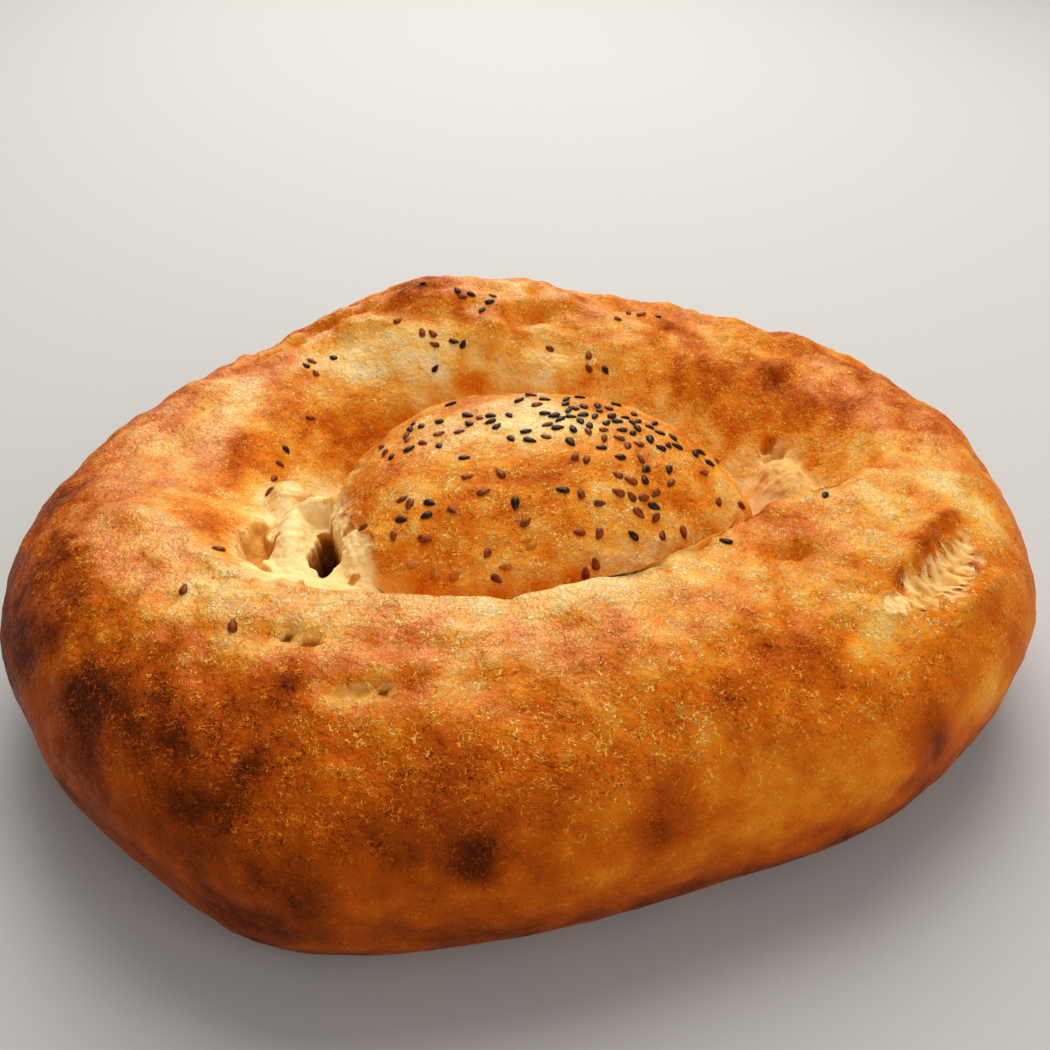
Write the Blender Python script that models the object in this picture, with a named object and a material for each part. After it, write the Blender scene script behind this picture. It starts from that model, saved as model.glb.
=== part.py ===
"""Pide bread: a round loaf with a puffed rim, a torn hollow and a domed middle, strewn with sesame.

Metres, +Z up. The origin is on the table under the middle of the loaf. +X is its right side, and
-Y is the side that faces the viewer. The loaf and its seeds are one solid.
"""

import math
import random

import bmesh
import bpy
from mathutils import Matrix, Vector
from mathutils.bvhtree import BVHTree

# The rim's plan and height every 22.5 degrees, anticlockwise from +X
OUTER_R = (0.127, 0.125, 0.117, 0.116, 0.116, 0.117, 0.115, 0.117,
           0.125, 0.130, 0.129, 0.129, 0.117, 0.113, 0.120, 0.127)
CREST_R = (0.097, 0.094, 0.088, 0.080, 0.077, 0.081, 0.089, 0.093,
           0.096, 0.097, 0.088, 0.076, 0.069, 0.066, 0.063, 0.075)
CREST_Z = (0.053, 0.053, 0.054, 0.054, 0.059, 0.060, 0.051, 0.050,
           0.050, 0.056, 0.057, 0.058, 0.057, 0.059, 0.056, 0.057)

# The groove round the dome at the same angles: its floor, its width, and how steep the wall beyond is
GROOVE_Z = (0.028, 0.027, 0.025, 0.024, 0.023, 0.022, 0.024, 0.030,
            0.039, 0.0445, 0.0475, 0.041, 0.032, 0.030, 0.029, 0.028)
GROOVE_WIDTH = (0.004, 0.003, 0.003, 0.003, 0.003, 0.003, 0.003, 0.006,
                0.012, 0.014, 0.010, 0.005, 0.003, 0.003, 0.003, 0.004)
WALL_LEAN = (0.75, 0.68, 0.55, 0.48, 0.45, 0.46, 0.52, 0.62,
             0.70, 0.60, 0.50, 0.50, 0.50, 0.50, 0.60, 0.70)

# The dome: its foot's radius every 45 degrees about its own centre, its top, and how full it is
DOME_R = (0.055, 0.049, 0.047, 0.057, 0.053, 0.056, 0.050, 0.050)
DOME_CENTRE = Vector((0.005, -0.013, 0.0))
DOME_TOP = 0.0645
DOME_FLAT = 2.4
DOME_FULL = 1.8

# The side: the height where the loaf is widest, and how far its foot lies inside that
BULGE_Z = 0.028
UNDERCUT = 0.014

# The loft: sections round the loaf, and steps along each stretch of a section
SECTIONS = 68
DOME_STEPS = 8
WALL_STEPS = 7
CREST_STEPS = 7
FOOT_STEPS = 3

# Mounds and pits of the torn crumb beside the dome, in plan: middle, half length, half width, turn of
# the length from +X in degrees, height in the middle and on the outline, and how square they are
MOUNDS = (
    (-0.0490, -0.0215, 0.0140, 0.0050, 8, 0.0490, 0.0400, 2),
    (-0.0375, -0.0450, 0.0150, 0.0060, 112, 0.0520, 0.0430, 2),
    (-0.0545, -0.0350, 0.0170, 0.0045, 97, 0.0485, 0.0440, 2),
    (-0.0500, -0.0575, 0.0100, 0.0050, 165, 0.0520, 0.0480, 2),
    (-0.0600, -0.0110, 0.0090, 0.0060, 110, 0.0450, 0.0410, 2),
    (0.0700, 0.0020, 0.0130, 0.0050, 100, 0.0420, 0.0380, 2),
)
PITS = (
    (-0.0450, -0.0405, 0.0125, 0.0041, 99, 0.0310, 0.0480, 5),
    (-0.0614, -0.0340, 0.0120, 0.0028, 96, 0.0420, 0.0475, 4),
    (-0.0582, -0.0500, 0.0065, 0.0026, 117, 0.0450, 0.0500, 4),
    (-0.0440, 0.0040, 0.0170, 0.0028, 74, 0.0270, 0.0380, 3),
)
MOUND_BLEND = 0.0020
PIT_BLEND = 0.0010

# Places where the crust is torn, sunken or swollen: middle, half length, half width, turn, and height.
# The torn ones have steep sides, the others are rounded.
TORN = (
    (0.0970, -0.0440, 0.0115, 0.0050, 50, -0.0020),
    (0.0850, -0.0565, 0.0100, 0.0036, 44, -0.0018),
    (-0.0240, -0.0840, 0.0095, 0.0030, 178, -0.0013),
    (-0.0345, -0.0930, 0.0080, 0.0024, 3, -0.0014),
)
ROUNDED = (
    (0.0905, -0.0415, 0.0120, 0.0028, 50, 0.0018),
    (0.0965, -0.0570, 0.0150, 0.0026, 47, 0.0012),
    (-0.0310, 0.0790, 0.0180, 0.0120, 160, 0.0020),
    (0.0030, 0.0680, 0.0080, 0.0040, 25, -0.0040),
    (-0.0099, 0.0590, 0.0070, 0.0045, 0, 0.0028),
    (0.0125, 0.0765, 0.0130, 0.0055, 165, 0.0020),
    (0.0271, 0.0560, 0.0070, 0.0045, 10, 0.0022),
    (-0.0760, 0.0560, 0.0230, 0.0024, 46, -0.0024),
    (0.0514, 0.0470, 0.0075, 0.0050, 20, 0.0018),
    (0.0724, 0.0410, 0.0065, 0.0048, 10, 0.0024),
    (0.0804, 0.0240, 0.0085, 0.0050, 110, 0.0022),
    (-0.0770, 0.0120, 0.0100, 0.0080, 80, 0.0020),
)

# Sesame: the seed's size, how far it sinks into the crust, and the least distance between two
SEED_LENGTH = 0.0033
SEED_WIDTH = 0.0019
SEED_THICKNESS = 0.0010
SEED_SUNK = 0.00028
SEED_APART = 0.0025
SEED_SHOULDER = 0.60

# Where it is strewn: middle, spread along X and along Y, and how many
STREWN = (
    (0.0120, -0.0050, 0.0080, 0.0060, 32),
    (0.0260, -0.0090, 0.0070, 0.0040, 14),
    (-0.0080, -0.0110, 0.0090, 0.0045, 10),
    (0.0140, -0.0200, 0.0180, 0.0050, 18),
    (-0.0280, -0.0060, 0.0060, 0.0090, 9),
    (0.0390, -0.0170, 0.0060, 0.0080, 9),
    (0.0000, -0.0360, 0.0180, 0.0050, 15),
    (0.0240, -0.0380, 0.0070, 0.0060, 9),
    (-0.0270, -0.0410, 0.0060, 0.0050, 7),
    (-0.0080, -0.0550, 0.0130, 0.0020, 6),
    (0.0160, -0.0510, 0.0060, 0.0020, 7),
    (-0.0130, 0.0670, 0.0110, 0.0080, 9),
    (-0.0310, 0.0590, 0.0050, 0.0020, 4),
    (-0.0660, 0.0500, 0.0080, 0.0130, 5),
    (-0.0650, 0.0040, 0.0020, 0.0060, 4),
    (0.0160, 0.0550, 0.0150, 0.0030, 6),
    (0.0360, 0.0700, 0.0090, 0.0060, 4),
    (-0.0680, -0.0540, 0.0050, 0.0120, 3),
    (0.0700, -0.0330, 0.0010, 0.0010, 1),
)
DRAW = 7

CRUST_COLOUR = (0.52, 0.22, 0.055, 1.0)
SESAME_COLOUR = (0.018, 0.010, 0.007, 1.0)


def clear_scene():
    for thing in list(bpy.data.objects):
        bpy.data.objects.remove(thing, do_unlink=True)


def material(name, colour, roughness):
    finish = bpy.data.materials.new(name)
    finish.use_nodes = True
    shader = finish.node_tree.nodes["Principled BSDF"]
    shader.inputs["Base Color"].default_value = colour
    shader.inputs["Roughness"].default_value = roughness
    shader.inputs["Metallic"].default_value = 0.0
    return finish


def around(values, angle):
    """Value at an angle, on a smooth closed curve through evenly spaced values."""
    count = len(values)
    place = (angle / math.tau % 1.0) * count
    first = int(place)
    t = place - first
    before, here, after, beyond = (values[(first + k) % count] for k in (-1, 0, 1, 2))
    return 0.5 * (2 * here + (after - before) * t
                  + (2 * before - 5 * here + 4 * after - beyond) * t ** 2
                  + (3 * here - before - 3 * after + beyond) * t ** 3)


def polar(radius, angle, height):
    return Vector((radius * math.cos(angle), radius * math.sin(angle), height))


def section(angle):
    """The loaf's skin at one angle, from beside the dome's top outwards to the foot on the table."""
    foot_of_dome = around(DOME_R, angle)
    groove_z = around(GROOVE_Z, angle)
    crest_z = around(CREST_Z, angle)
    lean = around(WALL_LEAN, angle)
    groove = DOME_CENTRE + polar(foot_of_dome + around(GROOVE_WIDTH, angle), angle, groove_z)
    crest = polar(around(CREST_R, angle), angle, crest_z)
    outer = polar(around(OUTER_R, angle), angle, BULGE_Z)
    foot = polar(around(OUTER_R, angle) - UNDERCUT, angle, 0.0)
    points = []
    for step in range(1, DOME_STEPS + 1):
        out = math.sin(0.5 * math.pi * step / DOME_STEPS)
        rise = max(1 - out ** DOME_FLAT, 0.0) ** (1 / DOME_FULL)
        points.append(DOME_CENTRE + polar(out * foot_of_dome, angle, groove_z + (DOME_TOP - groove_z) * rise))
    for step in range(WALL_STEPS + 1):
        out = step / WALL_STEPS
        rise = 0.5 * (1 - math.cos(math.pi * out ** lean))
        point = groove.lerp(crest, out)
        point.z = groove_z + (crest_z - groove_z) * rise
        points.append(point)
    for step in range(1, CREST_STEPS + 1):
        turn = 0.5 * math.pi * step / CREST_STEPS
        point = crest.lerp(outer, math.sin(turn))
        point.z = crest_z + (BULGE_Z - crest_z) * (1 - math.cos(turn))
        points.append(point)
    for step in range(1, FOOT_STEPS + 1):
        turn = 0.5 * math.pi * step / FOOT_STEPS
        point = outer.lerp(foot, 1 - math.cos(turn))
        point.z = BULGE_Z * (1 - math.sin(turn))
        points.append(point)
    return points


def loft():
    """The closed skin through every section, with one point at the dome's top and one underneath."""
    mesh = bmesh.new()
    top = mesh.verts.new(DOME_CENTRE + Vector((0.0, 0.0, DOME_TOP)))
    under = mesh.verts.new((0.0, 0.0, 0.0))
    rows = [[mesh.verts.new(point) for point in section(math.tau * k / SECTIONS)] for k in range(SECTIONS)]
    for this, following in zip(rows, rows[1:] + rows[:1]):
        mesh.faces.new((top, this[0], following[0]))
        for k in range(len(this) - 1):
            mesh.faces.new((this[k], this[k + 1], following[k + 1], following[k]))
        mesh.faces.new((this[-1], under, following[-1]))
    bmesh.ops.recalc_face_normals(mesh, faces=mesh.faces)
    return mesh


def nearness(place, point):
    """Distance from the middle of an oval place, 1 on its outline."""
    x, y, half_length, half_width, turn = place[:5]
    offset = Matrix.Rotation(-math.radians(turn), 2) @ Vector((point.x - x, point.y - y))
    return math.hypot(offset.x / half_length, offset.y / half_width)


def highest(first, second, round_off):
    """The higher of two heights, rounded where they meet."""
    share = min(max(0.5 + 0.5 * (first - second) / round_off, 0.0), 1.0)
    return second + share * (first - second) + round_off * share * (1 - share)


def refine(mesh):
    """Halves the skin's edges round the places that have relief."""
    reach = 1.1
    places = MOUNDS + PITS + TORN + ROUNDED
    near = []
    for edge in mesh.edges:
        middle = (edge.verts[0].co + edge.verts[1].co) / 2
        if middle.z > BULGE_Z / 2 and any(nearness(place, middle) < reach for place in places):
            near.append(edge)
    bmesh.ops.subdivide_edges(mesh, edges=near, cuts=1, use_grid_fill=True)
    bmesh.ops.triangulate(mesh, faces=mesh.faces)


def heap_crumb(mesh):
    """Heaps the torn crumb beside the dome and digs the pits into it, inside the rim's crest."""
    for vert in mesh.verts:
        crest = around(CREST_R, math.atan2(vert.co.y, vert.co.x))
        if vert.co.z < BULGE_Z / 2 or vert.co.xy.length > crest:
            continue
        for place in MOUNDS:
            top, edge, power = place[5:]
            mound = top + (edge - top) * nearness(place, vert.co) ** power
            vert.co.z = highest(vert.co.z, mound, MOUND_BLEND)
        for place in PITS:
            floor, edge, power = place[5:]
            pit = floor + (edge - floor) * nearness(place, vert.co) ** power
            vert.co.z = -highest(-vert.co.z, -pit, PIT_BLEND)


def raise_relief(mesh):
    """Pushes torn places in with steep sides, and swells or sinks the rounded ones."""
    mesh.normal_update()
    for vert in mesh.verts:
        if vert.co.z < BULGE_Z / 2:
            continue
        height = sum(place[-1] * math.exp(-nearness(place, vert.co) ** 4) for place in TORN)
        height += sum(place[-1] * math.exp(-nearness(place, vert.co) ** 2) for place in ROUNDED)
        vert.co += height * (vert.normal + Vector((0.0, 0.0, 1.0))).normalized()


def make_object(name, mesh, finish):
    data = bpy.data.meshes.new(name)
    mesh.to_mesh(data)
    mesh.free()
    data.materials.append(finish)
    thing = bpy.data.objects.new(name, data)
    bpy.context.scene.collection.objects.link(thing)
    return thing


def seed_mesh():
    """One sesame seed, a flat drop with its point towards +X, lying at the origin."""
    half_length = SEED_LENGTH / 2
    half_width = SEED_WIDTH / 2
    outline = ((1.0, 0.0), (0.1, 0.9), (-0.7, 0.8), (-1.0, 0.0), (-0.7, -0.8), (0.1, -0.9))
    levels = ((-0.5, SEED_SHOULDER), (0.0, 1.0), (0.5, SEED_SHOULDER))
    mesh = bmesh.new()
    rings = []
    for level, size in levels:
        z = level * SEED_THICKNESS
        rings.append([mesh.verts.new((size * x * half_length, size * y * half_width, z)) for x, y in outline])
    for lower, upper in zip(rings, rings[1:]):
        for k in range(len(outline)):
            j = (k + 1) % len(outline)
            mesh.faces.new((lower[k], lower[j], upper[j], upper[k]))
    mesh.faces.new(rings[-1])
    mesh.faces.new(rings[0][::-1])
    return mesh


def strew():
    """Where the seeds fall in plan, and how each is turned: drawn round each middle, none too close."""
    chance = random.Random(DRAW)
    strewn = []
    for x, y, spread_x, spread_y, count in STREWN:
        done = 0
        while done < count:
            place = Vector((chance.gauss(x, spread_x), chance.gauss(y, spread_y)))
            turn = chance.uniform(0.0, math.tau)
            if all((place - other).length >= SEED_APART for other, _ in strewn):
                strewn.append((place, turn))
                done += 1
    return strewn


def drop_on(crust, strewn):
    """Drops the seeds on the crust: where each one lands, which way it faces, and its turn."""
    tree = BVHTree.FromBMesh(crust)
    landed = []
    for place, turn in strewn:
        above = Vector((place.x, place.y, 2 * DOME_TOP))
        spot, normal, _, _ = tree.ray_cast(above, Vector((0.0, 0.0, -1.0)))
        landed.append((spot, normal, turn))
    return landed


def sow(loaf, landed, finish):
    """Fuses the seeds to the loaf."""
    group = bpy.data.collections.new("sesame")
    bpy.context.scene.collection.children.link(group)
    data = bpy.data.meshes.new("seed")
    shape = seed_mesh()
    shape.to_mesh(data)
    shape.free()
    data.materials.append(finish)
    lift = SEED_THICKNESS / 2 - SEED_SUNK
    for k, (spot, normal, turn) in enumerate(landed):
        seed = bpy.data.objects.new(f"seed_{k}", data)
        facing = Vector((0.0, 0.0, 1.0)).rotation_difference(normal).to_matrix().to_4x4()
        seed.matrix_world = Matrix.Translation(spot + lift * normal) @ facing @ Matrix.Rotation(turn, 4, "Z")
        group.objects.link(seed)
    union = loaf.modifiers.new("Seeds", "BOOLEAN")
    union.operation = "UNION"
    union.operand_type = "COLLECTION"
    union.collection = group
    union.material_mode = "TRANSFER"
    bpy.context.view_layer.update()
    fused = bpy.data.meshes.new_from_object(loaf.evaluated_get(bpy.context.evaluated_depsgraph_get()))
    loaf.modifiers.clear()
    loaf.data = fused
    for seed in list(group.objects):
        bpy.data.objects.remove(seed, do_unlink=True)
    bpy.data.collections.remove(group)


def drop_scraps(thing):
    """Triangulates the fused skin and keeps its largest closed body."""
    mesh = bmesh.new()
    mesh.from_mesh(thing.data)
    bmesh.ops.triangulate(mesh, faces=mesh.faces)
    unseen = set(mesh.verts)
    bodies = []
    while unseen:
        body = []
        edge_of_body = [unseen.pop()]
        while edge_of_body:
            vert = edge_of_body.pop()
            body.append(vert)
            for link in vert.link_edges:
                other = link.other_vert(vert)
                if other in unseen:
                    unseen.remove(other)
                    edge_of_body.append(other)
        bodies.append(body)
    bodies.sort(key=len)
    for scrap in bodies[:-1]:
        bmesh.ops.delete(mesh, geom=scrap, context="VERTS")
    mesh.to_mesh(thing.data)
    mesh.free()
    thing.data.shade_smooth()
    thing.data.set_sharp_from_angle(angle=math.radians(50))


def main():
    clear_scene()
    crust = material("crust", CRUST_COLOUR, 0.55)
    sesame = material("sesame", SESAME_COLOUR, 0.35)
    skin = loft()
    refine(skin)
    heap_crumb(skin)
    raise_relief(skin)
    landed = drop_on(skin, strew())
    loaf = make_object("loaf", skin, crust)
    sow(loaf, landed, sesame)
    drop_scraps(loaf)


main()
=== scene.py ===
"""Looks of the pide bread: its baked crust, the torn crumb in the hollow, and the sesame on it.

Metres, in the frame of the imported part: the origin is on the table under the middle of the loaf,
+X is its right side and -Y faces the viewer. The loaf's form repeats the named sizes of the part, apart
from the pits and the tears, which are fitted to the photo more closely here.
"""

import math
import random

import bpy
import numpy as np
from mathutils import Matrix, Vector, kdtree, noise
from mathutils.bvhtree import BVHTree


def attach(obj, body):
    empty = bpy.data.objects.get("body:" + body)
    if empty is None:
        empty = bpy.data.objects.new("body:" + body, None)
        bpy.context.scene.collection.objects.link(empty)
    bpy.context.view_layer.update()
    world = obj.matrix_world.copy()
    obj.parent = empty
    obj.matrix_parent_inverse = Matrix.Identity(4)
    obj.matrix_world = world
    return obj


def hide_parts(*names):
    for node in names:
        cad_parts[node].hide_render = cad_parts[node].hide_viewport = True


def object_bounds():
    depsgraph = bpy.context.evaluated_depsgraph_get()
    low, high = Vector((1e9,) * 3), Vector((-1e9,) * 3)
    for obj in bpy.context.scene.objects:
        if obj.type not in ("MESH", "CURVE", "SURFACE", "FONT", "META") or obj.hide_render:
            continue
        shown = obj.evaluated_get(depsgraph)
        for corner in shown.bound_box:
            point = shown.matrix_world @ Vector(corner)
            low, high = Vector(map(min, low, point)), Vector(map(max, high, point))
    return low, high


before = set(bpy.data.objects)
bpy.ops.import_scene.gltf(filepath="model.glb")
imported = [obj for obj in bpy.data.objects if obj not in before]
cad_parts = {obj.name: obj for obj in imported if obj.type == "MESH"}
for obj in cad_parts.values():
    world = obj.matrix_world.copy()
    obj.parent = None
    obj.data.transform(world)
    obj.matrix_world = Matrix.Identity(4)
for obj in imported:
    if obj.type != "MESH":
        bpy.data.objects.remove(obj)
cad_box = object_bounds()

# The rim's plan and height every 22.5 degrees, anticlockwise from +X
OUTER_R = (0.127, 0.125, 0.117, 0.116, 0.116, 0.117, 0.115, 0.117,
           0.125, 0.130, 0.129, 0.129, 0.117, 0.113, 0.120, 0.127)
CREST_R = (0.097, 0.094, 0.088, 0.080, 0.077, 0.081, 0.089, 0.093,
           0.096, 0.097, 0.088, 0.076, 0.069, 0.066, 0.063, 0.075)
CREST_Z = (0.053, 0.053, 0.054, 0.054, 0.059, 0.060, 0.051, 0.050,
           0.050, 0.056, 0.057, 0.058, 0.057, 0.059, 0.056, 0.057)

# The groove round the dome at the same angles: its floor, its width, and how steep the wall beyond is
GROOVE_Z = (0.028, 0.027, 0.025, 0.024, 0.023, 0.022, 0.024, 0.030,
            0.039, 0.0445, 0.0475, 0.041, 0.032, 0.030, 0.029, 0.028)
GROOVE_WIDTH = (0.004, 0.003, 0.003, 0.003, 0.003, 0.003, 0.003, 0.006,
                0.012, 0.014, 0.010, 0.005, 0.003, 0.003, 0.003, 0.004)
WALL_LEAN = (0.75, 0.68, 0.55, 0.48, 0.45, 0.46, 0.52, 0.62,
             0.70, 0.60, 0.50, 0.50, 0.50, 0.50, 0.60, 0.70)

# The dome: its foot's radius every 45 degrees about its own centre, its top, and how full it is
DOME_R = (0.055, 0.049, 0.047, 0.057, 0.053, 0.056, 0.050, 0.050)
DOME_CENTRE = (0.005, -0.013)
DOME_TOP = 0.0645
DOME_FLAT = 2.4
DOME_FULL = 1.8

# The side: the height where the loaf is widest, and how far its foot lies inside that
BULGE_Z = 0.028
UNDERCUT = 0.014

# The skin's stretches from the dome's top to the middle underneath, as shares of the way: dome, groove,
# inner wall, crest and side, foot, underside. A point's place counts these stretches: 1 is the dome's
# foot, 2 the inner wall's foot, 3 the crest, 4 the widest line and 5 the edge of the underside.
STRETCH_ENDS = (0.0, 0.27, 0.32, 0.46, 0.69, 0.86, 1.0)
CREST = 3
BULGE = 4

# The ball that the loaf is shaped from: how often a cube's edges are cut, and its faces then halved.
# Round torn crumb they are halved twice more, each time out to so many half widths.
BALL_CUTS = 11
BALL_HALVINGS = 3
FINER_OUT_TO = (1.2, 1.05)

# Mounds and pits of the torn crumb beside the dome, in plan: middle, half length, half width, turn of
# the length from +X in degrees, height in the middle and on the outline, and how square they are. A
# pit's last number is how much painted shade darkens its crumb, as if toasted.
MOUNDS = (
    (-0.0490, -0.0215, 0.0140, 0.0050, 8, 0.0490, 0.0400, 2),
    (-0.0375, -0.0450, 0.0150, 0.0060, 112, 0.0520, 0.0430, 2),
    (-0.0545, -0.0350, 0.0170, 0.0045, 97, 0.0485, 0.0440, 2),
    (-0.0500, -0.0575, 0.0100, 0.0050, 165, 0.0520, 0.0480, 2),
    (-0.0600, -0.0110, 0.0090, 0.0060, 110, 0.0450, 0.0410, 2),
    (0.0700, 0.0020, 0.0130, 0.0050, 100, 0.0420, 0.0380, 2),
)
PITS = (
    (-0.0460, -0.0382, 0.0120, 0.0038, 99, 0.0300, 0.0480, 3, 0.90),
    (-0.0622, -0.0350, 0.0160, 0.0036, 98, 0.0405, 0.0480, 4, 0.55),
    (-0.0582, -0.0500, 0.0065, 0.0026, 117, 0.0450, 0.0500, 4, 0.35),
    (-0.0440, 0.0040, 0.0170, 0.0028, 74, 0.0270, 0.0380, 3, 0.85),
)

# Over what height crust rounds off into a mound and into a pit, and how many half widths out from
# their middle both stop falling or rising
MOUND_BLEND = 0.0020
PIT_BLEND = 0.0010
FAR_OFF = 5.0

# Places where the crust is sunken or swollen: middle, half length, half width, turn, height, and how
# steep the sides are
RIGHT_WALL = (
    (0.0680, 0.0135, 0.0026, 0.0021, 10, -0.0022, 8),
    (0.0668, 0.0178, 0.0020, 0.0014, 120, -0.0028, 6),
    (0.0509, 0.0356, 0.0040, 0.0018, 20, -0.0016, 5),
)
SIDE_TEAR = (
    (0.0950, -0.0470, 0.0100, 0.0046, 60, -0.0022, 4),
    (0.0850, -0.0570, 0.0098, 0.0038, 43, -0.0020, 4),
    (0.0700, -0.0620, 0.0060, 0.0008, 5, -0.0012, 4),
    (0.0885, -0.0440, 0.0115, 0.0024, 52, 0.0024, 2.5),
    (0.0975, -0.0350, 0.0036, 0.0018, 52, 0.0016, 3),
    (0.0970, -0.0580, 0.0140, 0.0022, 45, 0.0020, 2.5),
    (0.0760, -0.0650, 0.0080, 0.0040, 20, 0.0014, 2),
)
SMALL_TEARS = (
    (-0.0462, -0.0805, 0.0015, 0.0009, 170, -0.0015, 4),
    (-0.0415, -0.0825, 0.0018, 0.0009, 160, -0.0015, 4),
    (-0.0455, -0.0812, 0.0100, 0.0018, 172, -0.0008, 2),
    (-0.0440, -0.0778, 0.0100, 0.0020, 172, 0.0007, 2),
    (-0.0240, -0.0840, 0.0095, 0.0030, 178, -0.0013, 4),
    (-0.0225, -0.0890, 0.0100, 0.0022, 3, 0.0009, 2),
    (-0.0325, -0.0942, 0.0045, 0.0011, 3, -0.0014, 4),
    (-0.0262, -0.0940, 0.0012, 0.0008, 5, -0.0014, 4),
    (-0.0310, -0.0912, 0.0070, 0.0018, 3, 0.0007, 2),
    (0.0565, -0.0525, 0.0065, 0.0015, 12, -0.0014, 4),
    (0.0575, -0.0495, 0.0070, 0.0018, 12, 0.0010, 2),
)
SWELLINGS = (
    (-0.0310, 0.0790, 0.0180, 0.0120, 160, 0.0020, 2),
    (0.0030, 0.0680, 0.0080, 0.0040, 25, -0.0040, 2.5),
    (-0.0099, 0.0590, 0.0070, 0.0045, 0, 0.0028, 2),
    (0.0125, 0.0765, 0.0130, 0.0055, 165, 0.0020, 2),
    (0.0080, 0.0655, 0.0120, 0.0022, 155, -0.0018, 2),
    (0.0065, 0.0558, 0.0160, 0.0020, 176, -0.0014, 2),
    (0.0271, 0.0560, 0.0070, 0.0045, 10, 0.0022, 2),
    (-0.0760, 0.0560, 0.0230, 0.0024, 46, -0.0024, 2.5),
    (-0.0560, 0.0720, 0.0140, 0.0018, 15, -0.0016, 2.5),
    (0.0514, 0.0470, 0.0075, 0.0050, 20, 0.0018, 2),
    (0.0724, 0.0410, 0.0065, 0.0048, 10, 0.0024, 2),
    (0.0715, 0.0355, 0.0045, 0.0018, 10, -0.0014, 3),
    (0.0804, 0.0240, 0.0085, 0.0050, 110, 0.0026, 2),
    (0.0904, 0.0060, 0.0110, 0.0050, 80, 0.0016, 2),
    (0.0842, -0.0100, 0.0100, 0.0060, 60, -0.0014, 2),
    (0.1075, -0.0125, 0.0090, 0.0050, 80, 0.0014, 2),
    (-0.0770, 0.0120, 0.0100, 0.0080, 80, 0.0020, 2),
    (-0.0300, 0.0640, 0.0120, 0.0040, 165, -0.0016, 2),
    (-0.0470, 0.0650, 0.0110, 0.0040, 150, 0.0016, 2),
)

# Where the crumb shows: middle, half length, half width, turn, how toasted it is, and how stringy. In some
# rows the toasting is painted shade.
CRUMB = (
    (-0.0530, -0.0375, 0.0275, 0.0125, 97, 0.13, 0.3),
    # Painted shade: the crumb left of the dome is darkened as if toasted
    (-0.0500, -0.0170, 0.0120, 0.0090, 60, 0.44, 0.3),
    (-0.0390, -0.0480, 0.0140, 0.0050, 115, 0.14, 0.0),
    (0.0690, 0.0035, 0.0150, 0.0062, 102, 0.36, 0.0),
    (0.0945, -0.0490, 0.0095, 0.0038, 60, 0.38, 1.8),
    (0.0850, -0.0580, 0.0098, 0.0036, 43, 0.40, 1.8),
    (0.0768, -0.0645, 0.0042, 0.0024, 40, 0.25, 1.0),
    # Painted shade: the small tears' dark pits, toasted 0.85 here and below, are darkened crumb
    (-0.0462, -0.0805, 0.0014, 0.0008, 170, 0.85, 0.0),
    (-0.0415, -0.0825, 0.0017, 0.0008, 160, 0.85, 0.0),
    (-0.0325, -0.0942, 0.0042, 0.0010, 3, 0.50, 0.5),
    (-0.0262, -0.0940, 0.0011, 0.0007, 5, 0.85, 0.0),
)

# Toasted flecks in the crumb: place in plan, and reach
FLECKS = (
    (-0.0560, -0.0200, 0.0011),
    (-0.0580, -0.0345, 0.0012),
    (-0.0475, -0.0590, 0.0014),
    (-0.0370, -0.0530, 0.0010),
    (-0.0395, -0.0400, 0.0022),
    (-0.0420, -0.0455, 0.0010),
)
FLECK_TOASTED = 0.6

# Between which shares of their half width or reach crumb, toasted pits and flecks fade out
CRUMB_EDGE = (0.80, 1.20)
PIT_EDGE = (0.75, 1.05)
FLECK_EDGE = (0.7, 1.2)

# Painted shade: crumb is darkened like toasted crumb where it lies deep under the plain form: how much,
# and between which depths
DEEP_PAINTED_SHADE = 0.3
SHADED_DEPTHS = (0.006, 0.015)

# Strings of crumb across a tear: their width and length, how high they stand, how far they pass the
# tear's edge in shares of its half width, and how much paler the strings and darker the gaps between
# them are painted: painted light and painted shade
STRING_WIDTH = 0.0013
STRING_LENGTH = 0.0050
STRING_HEIGHT = 0.00028
STRING_REACH = 0.45
STRING_SHADE = 0.20

# Uneven outlines: how far they sway and fray, and the size of the bends. Places narrower than
# FRAYED_WIDTH fray less, and ones no steeper than SMOOTH_STEEPNESS keep a smooth outline.
SWAY = 0.0016
SWAY_SIZE = 0.0065
FRAY = 0.0006
FRAY_SIZE = 0.0018
FRAYED_WIDTH = 0.0045
SMOOTH_STEEPNESS = 2

# The crust's relief: broad swellings, smaller ones that stand higher near the crest, and lumps, each
# with its height and grain size. Off the rim only the share SWELL_EVERYWHERE of the swellings is left.
BROAD_SWELL = 0.0012
BROAD_SIZE = 0.026
SWELL = 0.0010
SWELL_SIZE = 0.011
CREST_SWELL = 0.0006
CREST_BREADTH = 0.35
SWELL_EVERYWHERE = 0.30
LUMP = 0.00065
LUMP_SIZE = 0.0052

# Folds of the far rim: height, grain size, the length that a radian round the loaf counts for, and
# between which lines in Y they set in
FOLD = 0.0019
FOLD_SIZE = 0.0062
FOLD_STRETCH = 0.036
FAR_RIM_FROM = (0.030, 0.060)

# The rough surface of torn crumb in two grain sizes, and how much of the crust's relief it takes away
COARSE_CRUMB = 0.0006
COARSE_CRUMB_SIZE = 0.0050
FINE_CRUMB = 0.00040
FINE_CRUMB_SIZE = 0.0020
CRUMB_SMOOTHS = 0.7

# Between which places the dome's relief ends, the rim's sets in, and the folds end; between which the
# side gets calmer and its lumps lower, and by how much. Relief starts between the foot and this height.
DOME_TO = (0.75, 1.0)
RIM_FROM = (2.5, 3.0)
FOLDS_TO = (3.3, 3.9)
CALMER_FROM = (3.2, 3.9)
SIDE_CALMER = 0.65
SMOOTHER_FROM = (3.2, 3.8)
SIDE_SMOOTHER = 0.5
FOOT_RELIEF_Z = 0.012

# Keeps a direction without length from dividing by zero
TINY = 1e-9

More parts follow.
